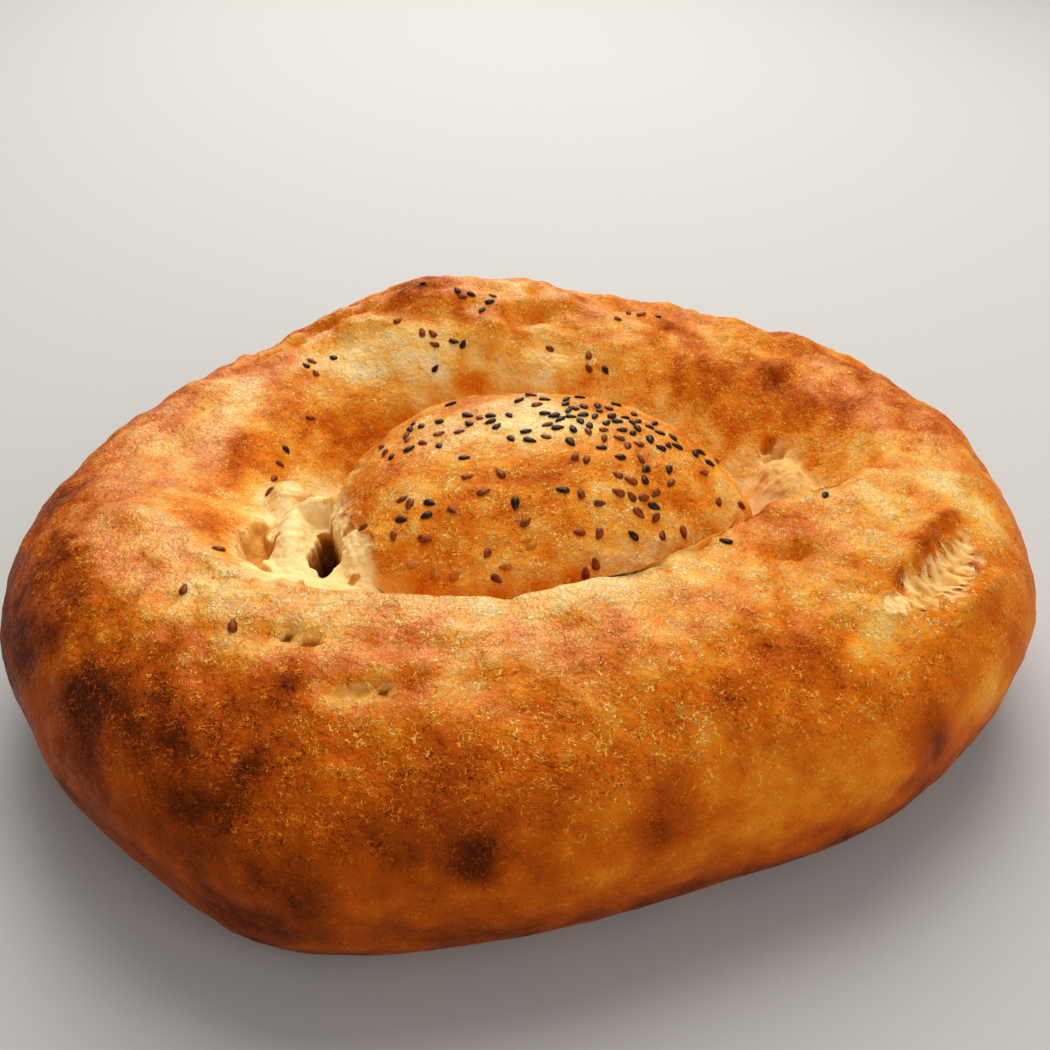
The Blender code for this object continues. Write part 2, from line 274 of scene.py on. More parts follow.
# Blisters: how many, reach, height, the share that is raised and not dented, and the places that they
# are drawn from on the dome and on the rim
BLISTERS = 420
BLISTER_REACH = (0.0013, 0.0034)
BLISTER_HEIGHT = (0.00020, 0.00065)
BLISTERS_RAISED = 0.75
BLISTERED_DOME = 0.8
BLISTERED_RIM = (2.5, 4.4)

# Browner places on the crust, and paler ones, some of them painted shade, painted shadow and painted
# highlights: middle, reach, and how much browner. Their outlines stray by STRAY in bends of STRAY_SIZE,
# and those of less reach than STRAYED_REACH stray less.
SCORCHED_AND_PAINTED_LIGHT = (
    (-0.0310, 0.0790, 0.0600, 0.0140, 0.36),
    (-0.0860, -0.0846, 0.0455, 0.0080, 0.36),
    (-0.0079, -0.1159, 0.0368, 0.0065, 0.44),
    (0.0246, -0.1096, 0.0346, 0.0085, 0.22),
    (0.0569, -0.0805, 0.0497, 0.0080, 0.24),
    (0.0845, -0.0845, 0.0301, 0.0070, 0.30),
    (0.0212, -0.0968, 0.0496, 0.0070, 0.18),
    (0.0027, -0.1084, 0.0438, 0.0090, 0.10),
    (-0.0167, -0.1112, 0.0443, 0.0100, 0.17),
    (-0.0450, -0.1064, 0.0475, 0.0150, 0.08),
    (-0.0430, -0.0895, 0.0550, 0.0060, 0.26),
    (-0.1100, -0.0215, 0.0490, 0.0090, 0.22),
    (-0.0959, -0.0677, 0.0491, 0.0220, 0.08),
    (0.0514, 0.0455, 0.0480, 0.0060, 0.18),
    (0.0705, 0.0390, 0.0526, 0.0065, 0.24),
    (0.0835, 0.0210, 0.0520, 0.0065, 0.18),
    (-0.0104, 0.0543, 0.0529, 0.0055, 0.20),
    (0.0125, 0.0770, 0.0580, 0.0080, 0.10),
    (0.0202, 0.0747, 0.0567, 0.0050, 0.18),
    (-0.0753, 0.0070, 0.0466, 0.0048, 0.18),
    (0.0560, -0.0470, 0.0570, 0.0100, 0.12),
    (0.0946, -0.0385, 0.0535, 0.0026, 0.40),
    (0.0910, -0.0425, 0.0535, 0.0026, 0.30),
    (0.0874, -0.0469, 0.0530, 0.0030, 0.32),
    (0.0807, -0.0549, 0.0515, 0.0026, 0.32),
    (0.0997, -0.0347, 0.0518, 0.0020, 0.30),
    (0.0720, -0.0695, 0.0498, 0.0095, -0.28),
    # Painted highlight: the lit ledge on the far rim's inner side is painted paler
    (-0.0610, 0.0527, 0.0494, 0.0110, -0.18),
    (-0.0462, 0.0530, 0.0491, 0.0115, -0.51),
    (-0.0272, 0.0521, 0.0491, 0.0108, -0.44),
    (-0.0108, 0.0517, 0.0492, 0.0092, -0.45),
    (0.0078, 0.0518, 0.0481, 0.0096, -0.32),
    (-0.0286, 0.0640, 0.0576, 0.0080, -0.16),
    (-0.0764, 0.0258, 0.0482, 0.0100, -0.12),
    (-0.0801, -0.0234, 0.0508, 0.0100, -0.14),
    (-0.0814, -0.0637, 0.0552, 0.0120, -0.12),
    (-0.0650, -0.0680, 0.0570, 0.0090, -0.18),
    (-0.0781, -0.0765, 0.0526, 0.0090, -0.10),
    (-0.0520, -0.0842, 0.0554, 0.0095, -0.28),
    (-0.0559, -0.0663, 0.0572, 0.0090, -0.08),
    (0.0847, 0.0028, 0.0475, 0.0120, -0.28),
    (0.0437, 0.0387, 0.0412, 0.0100, -0.22),
    (0.0515, -0.0177, 0.0471, 0.0080, -0.18),
    (0.0684, -0.0083, 0.0398, 0.0100, -0.52),
    (0.0620, 0.0090, 0.0400, 0.0100, -0.22),
    (0.1059, -0.0288, 0.0501, 0.0120, -0.12),
    (0.0960, 0.0330, 0.0480, 0.0160, 0.15),
    (-0.0655, -0.0905, 0.0505, 0.0115, 0.17),
    (-0.0510, -0.0985, 0.0508, 0.0130, 0.12),
    # Painted shade along the low front edge where it meets the floor, on top of its browning
    (-0.0503, -0.1168, 0.0353, 0.0140, 0.13),
    (-0.0602, -0.1135, 0.0338, 0.0120, 0.10),
    (-0.0362, -0.1208, 0.0294, 0.0140, 0.12),
    (0.0302, -0.1068, 0.0367, 0.0120, 0.09),
    (-0.0462, -0.0805, 0.0566, 0.0050, -0.16),
    (-0.0395, -0.0802, 0.0571, 0.0040, -0.14),
    (-0.0350, -0.0939, 0.0532, 0.0045, -0.22),
    (-0.0290, -0.0944, 0.0532, 0.0045, -0.20),
    # Painted highlight: the front crest's inner edge is painted paler where it catches the light
    (-0.0395, -0.0716, 0.0577, 0.0080, -0.10),
    (-0.0209, -0.0709, 0.0577, 0.0060, -0.20),
    (-0.0070, -0.0690, 0.0575, 0.0060, -0.20),
    (0.0060, -0.0680, 0.0575, 0.0060, -0.20),
    (0.0193, -0.0649, 0.0586, 0.0060, -0.18),
    (0.0324, -0.0581, 0.0582, 0.0060, -0.16),
    (0.0058, -0.0243, 0.0639, 0.0090, 0.16),
    (0.0045, -0.0130, 0.0647, 0.0110, -0.28),
    (0.0410, -0.0880, 0.0520, 0.0100, 0.16),
    (-0.0660, -0.0790, 0.0545, 0.0080, 0.10),
    (0.1020, 0.0100, 0.0490, 0.0120, 0.14),
    # Painted shade: the groove behind the dome and the foot of the far inner wall are darker
    (-0.0451, 0.0324, 0.0331, 0.0080, 0.26),
    (-0.0498, 0.0223, 0.0309, 0.0080, 0.36),
    (-0.0369, 0.0414, 0.0374, 0.0060, 0.12),
    (0.0104, 0.0473, 0.0432, 0.0070, 0.22),
    (-0.0160, 0.0480, 0.0440, 0.0070, 0.40),
    # More painted shade low on the front, on top of its browning
    (-0.0115, -0.1184, 0.0318, 0.0120, 0.05),
    (0.0046, -0.1157, 0.0253, 0.0120, 0.10),
    (-0.0229, -0.0857, 0.0554, 0.0060, 0.12),
    (0.0438, -0.0991, 0.0415, 0.0150, -0.10),
    (0.0254, -0.0480, 0.0498, 0.0120, -0.36),
    (-0.0707, -0.0161, 0.0445, 0.0120, -0.10),
    (-0.0077, -0.0395, 0.0614, 0.0090, 0.20),
    (0.0171, -0.0298, 0.0619, 0.0090, 0.14),
    (0.0253, 0.0523, 0.0489, 0.0100, -0.16),
    (-0.0741, 0.0141, 0.0470, 0.0110, -0.14),
    (-0.0686, -0.0092, 0.0430, 0.0100, -0.08),
    (-0.0211, -0.0384, 0.0607, 0.0090, -0.20),
    (0.0474, -0.0287, 0.0472, 0.0070, -0.14),
    (-0.0011, -0.0566, 0.0495, 0.0080, -0.14),
    (-0.0010, -0.0817, 0.0559, 0.0070, 0.16),
    (0.0824, -0.0332, 0.0559, 0.0070, -0.18),
    (0.1093, -0.0267, 0.0487, 0.0080, -0.14),
    (0.0485, -0.0759, 0.0534, 0.0070, -0.08),
    (-0.0888, -0.0003, 0.0494, 0.0090, -0.10),
    (0.0891, 0.0122, 0.0512, 0.0090, 0.18),
    (0.0640, -0.0380, 0.0560, 0.0080, -0.12),
    (0.0960, -0.0240, 0.0540, 0.0070, -0.16),
    (-0.0744, -0.0935, 0.0463, 0.0080, -0.06),
    (0.0186, -0.1045, 0.0442, 0.0120, -0.10),
    (0.0550, -0.0625, 0.0542, 0.0080, -0.12),
    (0.1072, -0.0371, 0.0474, 0.0080, -0.14),
    (0.0390, -0.1040, 0.0361, 0.0090, 0.06),
    # More painted shade low on the front, on top of its browning
    (-0.0280, -0.1200, 0.0320, 0.0120, 0.14),
    (0.0401, 0.0518, 0.0492, 0.0090, -0.10),
    (0.0107, 0.0664, 0.0554, 0.0080, -0.14),
    (0.0554, -0.0718, 0.0526, 0.0070, 0.06),
)
STRAY = 0.0045
STRAY_SIZE = 0.010
STRAYED_REACH = 0.012

# How browned the crust is at places along a section, how much more every 45 degrees round the loaf's
# side, from where on, and the most that these two make. The inner wall and the lower side are darker,
# partly browning and partly painted shade.
BAKED_AT = (0.0, 0.55, 0.80, 0.93, 1.00, 2.10, 2.40, 2.75, 3.0, 3.4, 4.0, 4.4, 6.0)
BAKED_AND_SHADED = (0.44, 0.53, 0.58, 0.36, 0.18, 0.24, 0.63, 0.56, 0.48, 0.51, 0.51, 0.77, 0.92)
BAKED_ROUND = (0.03, 0.14, 0.04, 0.16, 0.26, 0.28, 0.08, 0.07)
BAKED_ROUND_FROM = (2.6, 3.8)
MOST_BAKED = 0.84

# How much browner and paler large patches are, their size, and how much paler lumps are than hollows:
# painted light on the lumps and painted shade in the hollows
PATCHES = 0.15
PATCH_SIZE = 0.018
PAINTED_LUMP_LIGHT = 0.18

# How glossy the crust is every 45 degrees round the loaf, and how much that differs in patches
GLOSS_ROUND = (0.50, 0.05, 0.70, 0.60, 0.80, 0.85, 1.00, 0.30)
GLOSS_PATCHES = 0.5
GLOSS_SIZE = 0.012

# Where it is glossy at all: from which slope on (1 is level), up to which place, how far forward on the
# dome, and below which browning. Glossy crust is painted paler by PAINTED_SHEEN, a painted sheen.
GLOSSY_LEVEL = (0.87, 0.995)
GLOSS_TO = (3.15, 3.55)
DULL_DOME_FRONT = (-0.032, -0.010)
DULL_BROWN = (0.60, 0.80)
PAINTED_SHEEN = 0.10

# From which slope on the crust's fine pattern gets stronger, and how strong it is on steep and on level
# crust. On level crust, which faces the light, its pale curls are stronger painted glints.
GLINTING_LEVEL = (0.35, 0.95)
FLAKY_AND_GLINTING = (0.50, 1.40)

# The crust's colours from pale to scorched, and the crumb's from pale to toasted, whose dark end also gives
# the painted shade in pits and deep crumb
CRUST_TONES = (
    (0.00, (0.97, 0.79, 0.46)),
    (0.10, (0.93, 0.66, 0.27)),
    (0.22, (0.88, 0.53, 0.13)),
    (0.38, (0.82, 0.34, 0.035)),
    (0.52, (0.72, 0.19, 0.006)),
    (0.66, (0.53, 0.098, 0.003)),
    (0.80, (0.34, 0.054, 0.002)),
    (0.92, (0.17, 0.026, 0.002)),
    (1.00, (0.07, 0.012, 0.002)),
)
CRUMB_TONES = (
    (0.00, (0.97, 0.78, 0.42)),
    (0.20, (0.92, 0.65, 0.28)),
    (0.50, (0.70, 0.33, 0.064)),
    (0.75, (0.42, 0.145, 0.018)),
    (1.00, (0.12, 0.035, 0.004)),
)

# Mottles, grit and the crumb's blotches: grain size, and how much browner from the least to the most
MOTTLE_SIZE = 0.0045
MOTTLES = (-0.05, 0.05)
GRIT_SIZE = 0.0009
GRIT = (-0.04, 0.04)
BLOTCH_SIZE = 0.0024
BLOTCHES = (-0.24, 0.26)

# Fine curls on the crust: size of their bends, thickness in values of their noise, and the pattern's
# number; the share of the thickness that is full; how much larger the noise is that fades them in and
# out, and between which of its values; and how much browner they are. The pale curls are partly pale
# flakes and partly painted glints, the dark ones partly browner lines and partly painted shade.
GLINTING_CURLS = ((0.0011, 0.036, 0), (0.0017, 0.024, 11))
DARK_CURLS = (0.0012, 0.036, 23)
CURL_CORE = 0.3
CURLS_FADE_SIZE = 2
CURLS_FADE = (0.38, 0.62)
GLINTING_CURLS_TONE = -0.25
DARK_CURLS_TONE = 0.14

# The surface: its reflections, how rough it is in satin grains, how much rougher the crumb is, and the
# range in which most values of a noise lie. The coat is the gloss on level crust.
CRUST_SPECULAR = 0.03
SATIN_SIZE = 0.0016
SATIN = (0.32, 0.60)
CRUMB_ROUGHER = 0.25
MOST_NOISE = (0.3, 0.7)
COAT = 0.8
COAT_ROUGHNESS = 0.20
COAT_IOR = 1.65

# Its finest relief: grain size and height of dents, grains and crumb holes, and height of the curls
DENT_SIZE = 0.0034
DENTS = 0.00110
GRAIN_SIZE = 0.0011
GRAINS = 0.00036
HOLE_SIZE = 0.0017
HOLES = 0.00042
RIDGES = 0.00016
COAT_GRAINS = 0.00036
COAT_RIDGES = 0.00014

# Sesame: the seed's size, how far it sinks into the crust, and the least distance between two
SEED_LENGTH = 0.0033
SEED_WIDTH = 0.0019
SEED_THICKNESS = 0.0010
SEED_SUNK = 0.00028
SEED_APART = 0.0025

# The seed's form: faces round and along it, how much narrower its point is, how much its ends are cut
# short, and how much thinner the point is; then how large seeds are and how far they tilt, in radians
SEED_SEGMENTS = 10
SEED_RINGS = 6
SEED_TAPER = 0.38
SEED_BLUNT = 0.12
SEED_THINNER = 0.25
SEED_SIZES = (0.86, 1.06)
SEED_TILT = 0.12

# Where sesame is strewn: middle, spread along X and along Y, and how many. DRAW sets all random draws.
STREWN = (
    (0.0120, -0.0050, 0.0080, 0.0060, 32),
    (0.0260, -0.0090, 0.0070, 0.0040, 14),
    (-0.0080, -0.0110, 0.0090, 0.0045, 10),
    (0.0140, -0.0200, 0.0180, 0.0050, 18),
    (-0.0280, -0.0060, 0.0060, 0.0090, 9),
    (0.0390, -0.0170, 0.0060, 0.0080, 9),
    (0.0000, -0.0360, 0.0180, 0.0050, 15),
    (0.0240, -0.0380, 0.0070, 0.0060, 9),
    (-0.0270, -0.0410, 0.0060, 0.0050, 7),
    (-0.0080, -0.0550, 0.0130, 0.0020, 6),
    (0.0160, -0.0510, 0.0060, 0.0020, 7),
    (-0.0130, 0.0670, 0.0110, 0.0080, 9),
    (-0.0310, 0.0590, 0.0050, 0.0020, 4),
    (-0.0660, 0.0500, 0.0080, 0.0130, 5),
    (-0.0650, 0.0040, 0.0020, 0.0060, 4),
    (0.0160, 0.0550, 0.0150, 0.0030, 6),
    (0.0360, 0.0700, 0.0090, 0.0060, 4),
    (-0.0680, -0.0540, 0.0050, 0.0120, 3),
    (0.0700, -0.0330, 0.0010, 0.0010, 1),
)
DRAW = 7

# Which sorts fall where. SORTS_IN_FRONT_OF goes by the line in Y on the dome that they lie in front of.
TORN_SIDE_X = -0.0345
TORN_SIDE_Y = 0.010
SORTS_AT_TORN_SIDE = ("golden", "brown", "brown")
SEEDED_DOME_R = 0.052
SORTS_IN_FRONT_OF = (
    (-0.0485, ("golden", "golden", "brown")),
    (-0.028, ("brown", "brown", "brown", "black")),
    (-0.014, ("brown", "black")),
)
SORTS_ON_TOP = ("black", "black", "black", "black", "black", "brown")
SORTS_ON_RIM = ("black", "brown")

# The seeds' looks: darkest and lightest colour, and roughness; between which values of a noise the one
# turns into the other; their reflections, and the grain size of the shades and of the surface
SEED_LOOKS = {
    "black": ((0.014, 0.005, 0.002), (0.040, 0.013, 0.005), 0.28),
    "brown": ((0.095, 0.015, 0.002), (0.30, 0.055, 0.005), 0.28),
    "golden": ((0.40, 0.10, 0.006), (0.60, 0.20, 0.018), 0.35),
}
SEED_SHADES = (0.35, 0.65)
SEED_SPECULAR = 0.15
SEED_SHADE_SIZE = 0.0012
SEED_GRAIN_SIZE = 0.0004
SEED_GRAINS = 0.00006

# The floor and the light: a room's faint light, and lamps with place, size, power and tint
FLOOR_SIZE = 6
FLOOR_COLOUR = (0.48, 0.49, 0.50)
FLOOR_ROUGHNESS = 0.8
ROOM_TINT = (1.0, 0.97, 0.93)
ROOM_STRENGTH = 0.34
LIT_PLACE = (0.0, 0.0, 0.04)
LIGHTS = (
    ("high window", (0.08, 0.55, 1.05), 0.8, 11.6, (1.0, 0.95, 0.87)),
    ("back window", (-0.10, 1.30, 0.70), 1.2, 10.5, (1.0, 0.93, 0.80)),
    ("fill", (0.75, -0.85, 0.60), 0.9, 5.4, (1.0, 0.94, 0.85)),
)

# The camera: where it stands, how far down it looks, and its focal length for a 36 mm sensor
CAMERA_PLACE = (0.0, -0.239, 0.193)
CAMERA_DOWN = math.radians(35)
SENSOR = 36.0
LENS = 1080 / 1050 * SENSOR
CLIP_START = 0.01


# Working with Blender

def deselect_all():
    bpy.ops.object.select_all(action="DESELECT")


def pick(thing):
    """Makes one object the only selected and the active one."""
    deselect_all()
    thing.select_set(True)
    bpy.context.view_layer.objects.active = thing


def apply_modifier(thing, kind, **settings):
    modifier = thing.modifiers.new(kind.title(), kind)
    for name, value in settings.items():
        setattr(modifier, name, value)
    pick(thing)
    bpy.ops.object.modifier_apply(modifier=modifier.name)


def get_points(mesh):
    flat = np.empty(3 * len(mesh.vertices))
    mesh.vertices.foreach_get("co", flat)
    return flat.reshape(-1, 3)


def set_points(mesh, points):
    mesh.vertices.foreach_set("co", np.ascontiguousarray(points).ravel())
    mesh.update()


def get_normals(mesh):
    flat = np.empty(3 * len(mesh.vertices))
    mesh.vertex_normals.foreach_get("vector", flat)
    return flat.reshape(-1, 3)


def store(mesh, name, values):
    """Keeps one number for every vertex, for the materials to read."""
    layer = mesh.attributes.new(name, "FLOAT", "POINT")
    layer.data.foreach_set("value", np.ascontiguousarray(values, dtype=np.float32))


# The loaf's form

def around(values, angle):
    """Values at angles, on a smooth closed curve through evenly spaced ones."""
    values = np.asarray(values)
    count = len(values)
    place = angle / math.tau % 1.0 * count
    first = place.astype(int)
    t = place - first
    before, here, after, beyond = (values[(first + k) % count] for k in (-1, 0, 1, 2))
    return 0.5 * (2 * here + (after - before) * t
                  + (2 * before - 5 * here + 4 * after - beyond) * t ** 2
                  + (3 * here - before - 3 * after + beyond) * t ** 3)


def soften(values, low, high):
    """0 below low, 1 above high, smooth between."""
    t = np.clip((values - low) / (high - low), 0, 1)
    return t * t * (3 - 2 * t)


def polar(radius, angle, height, centre=(0.0, 0.0)):
    x, y = centre
    height = np.broadcast_to(height, angle.shape)
    return np.stack([x + radius * np.cos(angle), y + radius * np.sin(angle), height], axis=1)


def between(start, end, share, height):
    """Points a share of the way from start to end in plan, at the given heights."""
    points = start + share[:, None] * (end - start)
    points[:, 2] = height
    return points


def skin(angle, share):
    """The loaf's skin at angles round it and shares of the way from the dome's top to the underside."""
    place = np.interp(share, STRETCH_ENDS, range(len(STRETCH_ENDS)))
    stretch = np.minimum(place.astype(int), len(STRETCH_ENDS) - 2)
    t = place - stretch
    quarter = 0.5 * math.pi * t
    foot_of_dome = around(DOME_R, angle)
    groove_z = around(GROOVE_Z, angle)
    crest_z = around(CREST_Z, angle)
    dome_foot = polar(foot_of_dome, angle, groove_z, DOME_CENTRE)
    groove = polar(foot_of_dome + around(GROOVE_WIDTH, angle), angle, groove_z, DOME_CENTRE)
    crest = polar(around(CREST_R, angle), angle, crest_z)
    outer = polar(around(OUTER_R, angle), angle, BULGE_Z)
    foot = polar(around(OUTER_R, angle) - UNDERCUT, angle, 0.0)
    out = np.sin(quarter)
    dome_z = groove_z + (DOME_TOP - groove_z) * np.maximum(1 - out ** DOME_FLAT, 0) ** (1 / DOME_FULL)
    wall_z = groove_z + (crest_z - groove_z) * 0.5 * (1 - np.cos(math.pi * t ** around(WALL_LEAN, angle)))
    side_z = crest_z + (BULGE_Z - crest_z) * (1 - np.cos(quarter))
    stretches = (
        polar(out * foot_of_dome, angle, dome_z, DOME_CENTRE),
        between(dome_foot, groove, t, groove_z),
        between(groove, crest, t, wall_z),
        between(crest, outer, np.sin(quarter), side_z),
        between(outer, foot, 1 - np.cos(quarter), BULGE_Z * (1 - np.sin(quarter))),
        between(foot, 0 * foot, t, 0 * t),
    )
    return np.choose(stretch[:, None], stretches), place


def bearings(directions):
    """Angle and share of the skin that belong to directions from the middle of a ball."""
    length = np.linalg.norm(directions, axis=1)
    angle = np.arctan2(directions[:, 1], directions[:, 0])
    return angle, np.arccos(np.clip(directions[:, 2] / length, -1, 1)) / math.pi


def along_and_across(points, turn):
    """Coordinates in plan along and across a direction turned from +X by degrees."""
    cos, sin = math.cos(math.radians(turn)), math.sin(math.radians(turn))
    return points[:, 0] * cos + points[:, 1] * sin, points[:, 1] * cos - points[:, 0] * sin


def nearness(oval, points):
    """Distance from the middle of an oval place in plan, 1 on its outline."""
    x, y, half_length, half_width, turn = oval
    along, across = along_and_across(points - (x, y, 0.0), turn)
    return np.hypot(along / half_length, across / half_width)


def frayed(oval, points, warped):
    """The same for a place with a ragged outline, which frays less where the place is narrow."""
    half_width = oval[3]
    return nearness(oval, points + min(half_width / FRAYED_WIDTH, 1.0) * (warped - points))


# Smooth noise. The number that each pattern is shifted by only makes it differ from the others.

def grain(points, size, shift=0.0, octaves=2):
    """Smooth random values from about -1 to 1 with grains of this size; more octaves add finer ones."""
    scaled = points / size + shift
    return np.array([noise.fractal(point, 1.0, 2.0, octaves) for point in scaled.tolist()])


def wander(points, reach, size, shift=0.0):
    """The points moved about by smooth noise, so that what is drawn on them gets an uneven outline."""
    moved = [grain(points, size, shift + 3.7 * axis) for axis in range(3)]
    return points + reach * np.stack(moved, axis=1)


# Making the loaf

def ball():
    """A cube cut into small squares and rounded to a ball: evenly spread faces to shape the loaf from."""
    deselect_all()
    bpy.ops.mesh.primitive_cube_add(size=2)
    loaf = bpy.context.object
    loaf.name = "crust"
    bpy.ops.object.mode_set(mode="EDIT")
    bpy.ops.mesh.subdivide(number_cuts=BALL_CUTS)
    bpy.ops.object.mode_set(mode="OBJECT")
    halvings = {"levels": BALL_HALVINGS, "render_levels": BALL_HALVINGS}
    apply_modifier(loaf, "SUBSURF", subdivision_type="SIMPLE", **halvings)
    apply_modifier(loaf, "CAST", factor=1.0, radius=1.0)
    return loaf


def refine(loaf, half_widths):
    """Halves the faces round torn crumb, out to so many half widths of each place."""
    mesh = loaf.data
    middles = np.empty(3 * len(mesh.polygons))
    mesh.polygons.foreach_get("center", middles)
    points, place = skin(*bearings(middles.reshape(-1, 3)))
    near = np.zeros(len(points), bool)
    for *oval, _, _ in CRUMB:
        near |= (nearness(oval, points) < half_widths) & (place < BULGE)
    mesh.vertices.foreach_set("select", np.zeros(len(mesh.vertices), bool))
    mesh.edges.foreach_set("select", np.zeros(len(mesh.edges), bool))
    mesh.polygons.foreach_set("select", near)
    pick(loaf)
    bpy.context.tool_settings.mesh_select_mode = (False, False, True)
    bpy.ops.object.mode_set(mode="EDIT")
    bpy.ops.mesh.subdivide(number_cuts=1)
    bpy.ops.object.mode_set(mode="OBJECT")


def highest(first, second, round_off):
    """The higher of two heights, rounded where they meet."""
    share = np.clip(0.5 + 0.5 * (first - second) / round_off, 0, 1)
    return second + share * (first - second) + round_off * share * (1 - share)


def heaped(height, points, swayed, place):
    """Heights of the top side with the mounds of torn crumb on it and the pits dug into them."""
    for *oval, middle_z, edge_z, squareness in MOUNDS:
        near = np.minimum(nearness(oval, points), FAR_OFF)
        mound = middle_z + (edge_z - middle_z) * near ** squareness
        height = np.where(place < CREST, highest(height, mound, MOUND_BLEND), height)
    for *oval, middle_z, edge_z, squareness, _ in PITS:
        near = np.minimum(nearness(oval, swayed), FAR_OFF)
        pit = middle_z + (edge_z - middle_z) * near ** squareness
        height = np.where(place < CREST, -highest(-height, -pit, PIT_BLEND), height)
    return height


def raised(points, warped):
    """Heights of the sunken and swollen places. Steep ones get ragged outlines from the warped points."""
    height = np.zeros(len(points))
    for *oval, lift, steepness in RIGHT_WALL + SIDE_TEAR + SMALL_TEARS + SWELLINGS:
        near = frayed(oval, points, warped) if steepness > SMOOTH_STEEPNESS else nearness(oval, points)
        height += lift * np.exp(-near ** steepness)
    return height


def torn(points, swayed, warped):
    """How far each point lies inside torn crumb, how toasted the crumb is there with painted shade added,
    and its strings.
    """
    crumb = np.zeros(len(points))
    toasted_and_shaded = np.zeros(len(points))
    strings = np.zeros(len(points))
    for *oval, how_toasted_and_shaded, how_stringy in CRUMB:
        string = 0.0
        if how_stringy:
            along, across = along_and_across(points, oval[4])
            lengths = (along / STRING_WIDTH, across / STRING_LENGTH, points[:, 2] / STRING_LENGTH)
            stretched = np.stack(lengths, axis=1)
            string = how_stringy * grain(stretched, 1.0, shift=7.0, octaves=1)
        inside = 1 - soften(frayed(oval, points, warped) - STRING_REACH * string, *CRUMB_EDGE)
        toasted_and_shaded = np.where(inside > crumb, how_toasted_and_shaded, toasted_and_shaded)
        strings = np.where(inside > crumb, string, strings)
        crumb = np.maximum(crumb, inside)
    for *oval, _, _, _, how_toasted_and_shaded in PITS:
        toasted_and_shaded = np.maximum(toasted_and_shaded, how_toasted_and_shaded * (1 - soften(nearness(oval, swayed), *PIT_EDGE)))
    for x, y, reach in FLECKS:
        away = np.hypot(warped[:, 0] - x, warped[:, 1] - y) / reach
        toasted_and_shaded = np.maximum(toasted_and_shaded, FLECK_TOASTED * (1 - soften(away, *FLECK_EDGE)))
    return crumb, toasted_and_shaded - STRING_SHADE * strings, STRING_HEIGHT * strings


def blisters(points, place):
    """Small round blisters and dimples on the dome and the rim: how far they lift each point."""
    chance = random.Random(DRAW + 2)
    tree = kdtree.KDTree(len(points))
    for k, point in enumerate(points.tolist()):
        tree.insert(point, k)
    tree.balance()
    lift = np.zeros(len(points))
    on_rim = (place > BLISTERED_RIM[0]) & (place < BLISTERED_RIM[1])
    wanted = np.flatnonzero(on_rim | (place < BLISTERED_DOME)).tolist()
    for _ in range(BLISTERS):
        middle = points[chance.choice(wanted)]
        reach = chance.uniform(*BLISTER_REACH)
        height = chance.uniform(*BLISTER_HEIGHT) * (1 if chance.random() < BLISTERS_RAISED else -1)
        for _, k, away in tree.find_range(middle.tolist(), reach):
            lift[k] += height * (1 - (away / reach) ** 2) ** 1.5
    return lift


def crust_relief(points, angle, place, lumps):
    """How far swellings, lumps, blisters and the far rim's folds lift each point of the crust."""
    on_rim = soften(place, *RIM_FROM)
    on_dome = 1 - soften(place, *DOME_TO)
    calm = 1 - SIDE_CALMER * soften(place, *CALMER_FROM)
    on_crest = np.exp(-((place - CREST) / CREST_BREADTH) ** 2)
    swell = BROAD_SWELL * grain(points, BROAD_SIZE, octaves=1)
    swell += calm * (SWELL + CREST_SWELL * on_crest) * grain(points, SWELL_SIZE, shift=5.0)
    far_rim = soften(points[:, 1], *FAR_RIM_FROM) * on_rim * (1 - soften(place, *FOLDS_TO))
    folded = np.stack([FOLD_STRETCH * angle, np.hypot(points[:, 0], points[:, 1]), points[:, 2]], axis=1)
    lift = swell * (SWELL_EVERYWHERE + (1 - SWELL_EVERYWHERE) * on_rim)
    lift += LUMP * lumps * (on_rim + on_dome)
    lift += far_rim * FOLD * grain(folded, FOLD_SIZE, shift=1.3)
    lift += calm * blisters(points, place) * (on_rim + on_dome)
    return lift


def crumb_relief(points):
    """How far the rough surface of torn crumb lifts each point."""
    return (COARSE_CRUMB * grain(points, COARSE_CRUMB_SIZE, shift=2.0)
            + FINE_CRUMB * grain(points, FINE_CRUMB_SIZE, shift=2.0))


def browning_and_painted_light(points, angle, place):
    """How browned each point of the crust is, with painted shade and painted highlights: 0 pale, 0.5
    golden, 1 scorched.
    """
    bake_and_painted_light = np.interp(place, BAKED_AT, BAKED_AND_SHADED)
    bake_and_painted_light += soften(place, *BAKED_ROUND_FROM) * around(BAKED_ROUND, angle)
    bake_and_painted_light = np.minimum(bake_and_painted_light, MOST_BAKED)
    bake_and_painted_light += PATCHES * grain(points, PATCH_SIZE, shift=4.0)
    strayed = wander(points, STRAY, STRAY_SIZE, shift=2.2) - points
    for x, y, z, reach, more in SCORCHED_AND_PAINTED_LIGHT:
        moved = points + min(reach / STRAYED_REACH, 1.0) * strayed
        away = np.linalg.norm(moved - (x, y, z), axis=1) / reach
        bake_and_painted_light += more * np.exp(-away ** 2)
    return bake_and_painted_light


def glossiness(points, angle, place, level):
    """How glossy each point of the crust is: in patches where it is level, not on the dome's front."""
    on_top = soften(level, *GLOSSY_LEVEL) * (1 - soften(place, *GLOSS_TO))
    on_top *= 1 - (1 - soften(place, *DOME_TO)) * (1 - soften(points[:, 1], *DULL_DOME_FRONT))
    patches = GLOSS_PATCHES * grain(points, GLOSS_SIZE, shift=12.0)
    return on_top * np.clip(around(GLOSS_ROUND, angle) + patches, 0, 1)


